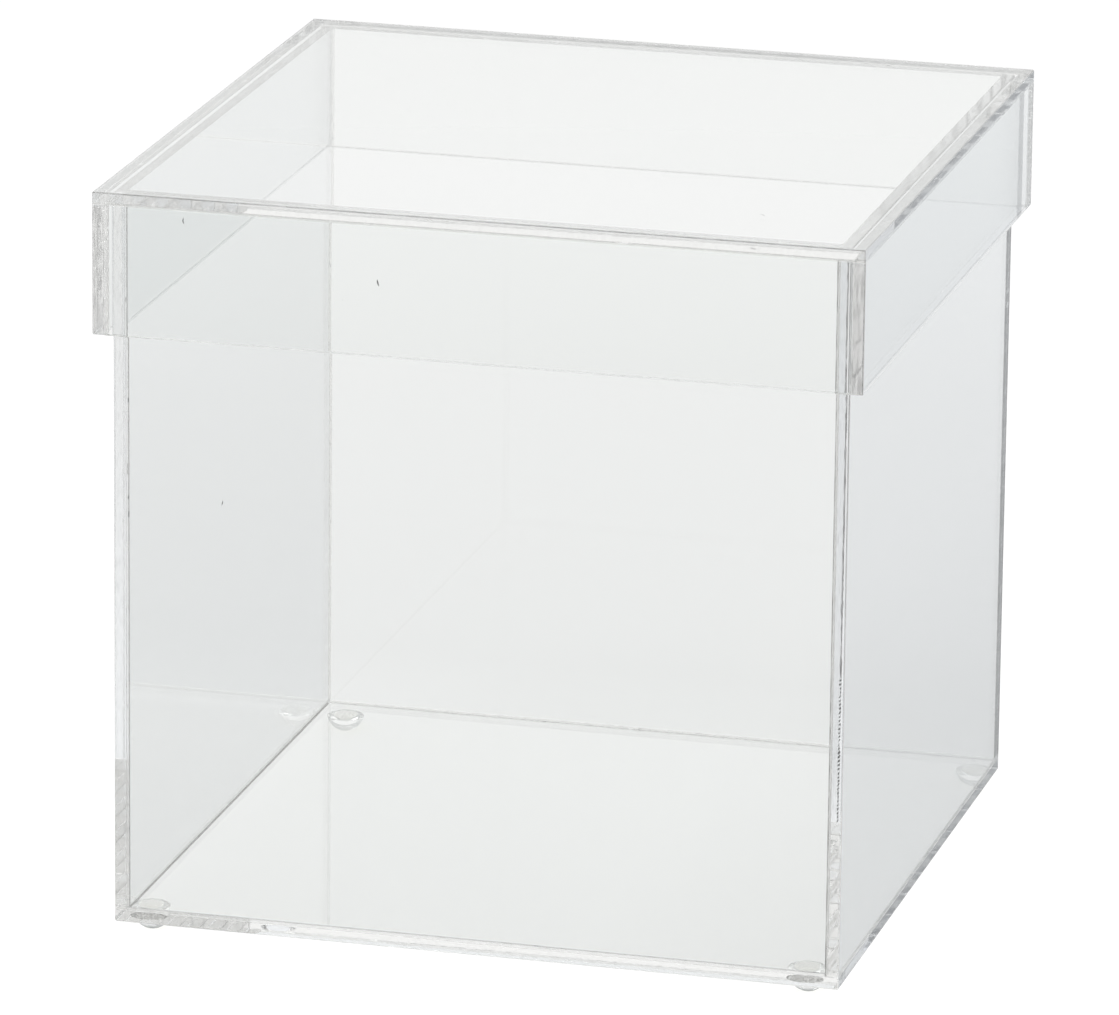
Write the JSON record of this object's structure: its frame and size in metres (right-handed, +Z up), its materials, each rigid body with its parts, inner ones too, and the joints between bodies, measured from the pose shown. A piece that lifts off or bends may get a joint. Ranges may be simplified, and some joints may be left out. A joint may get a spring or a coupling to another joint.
{
  "type": "acrylic storage box with lid",
  "caption": "Square clear acrylic box of bonded sheet with a lift-off lid whose skirt drops over the walls, on small clear dome feet.",
  "frame": {"origin": "centre of the object's bounding box, on the plane that the feet stand on", "axes": "+Z up, the way the lid lifts; -Y is the front, the side with a cut wall end at each corner that the picture shows on the left; +X is to the right seen from the front"},
  "size_m": [0.188, 0.188, 0.1868],
  "materials": {
    "clear_acrylic": "clear cast sheet with polished faces; saw-cut, lightly polished edges",
    "clear_foot": "clear soft polyurethane",
    "foot_adhesive": "clear pressure-sensitive adhesive"
  },
  "bodies": {
    "box": {"box_base": "clear_acrylic", "box_left_wall": "clear_acrylic", "box_right_wall": "clear_acrylic", "box_front_wall": "clear_acrylic", "box_back_wall": "clear_acrylic", "foot_front_left": "clear_foot", "foot_front_right": "clear_foot", "foot_back_left": "clear_foot", "foot_back_right": "clear_foot", "foot_front_left_adhesive": "foot_adhesive", "foot_front_right_adhesive": "foot_adhesive", "foot_back_left_adhesive": "foot_adhesive", "foot_back_right_adhesive": "foot_adhesive"},
    "lid": {"lid_plate": "clear_acrylic", "lid_left_skirt": "clear_acrylic", "lid_right_skirt": "clear_acrylic", "lid_front_skirt": "clear_acrylic", "lid_back_skirt": "clear_acrylic"}
  },
  "joints": [
    {"name": "lid_lift", "type": "slide", "parent": "box", "child": "lid", "axis": [0, 0, 1], "range_m": [0, 0.21]}
  ]
}
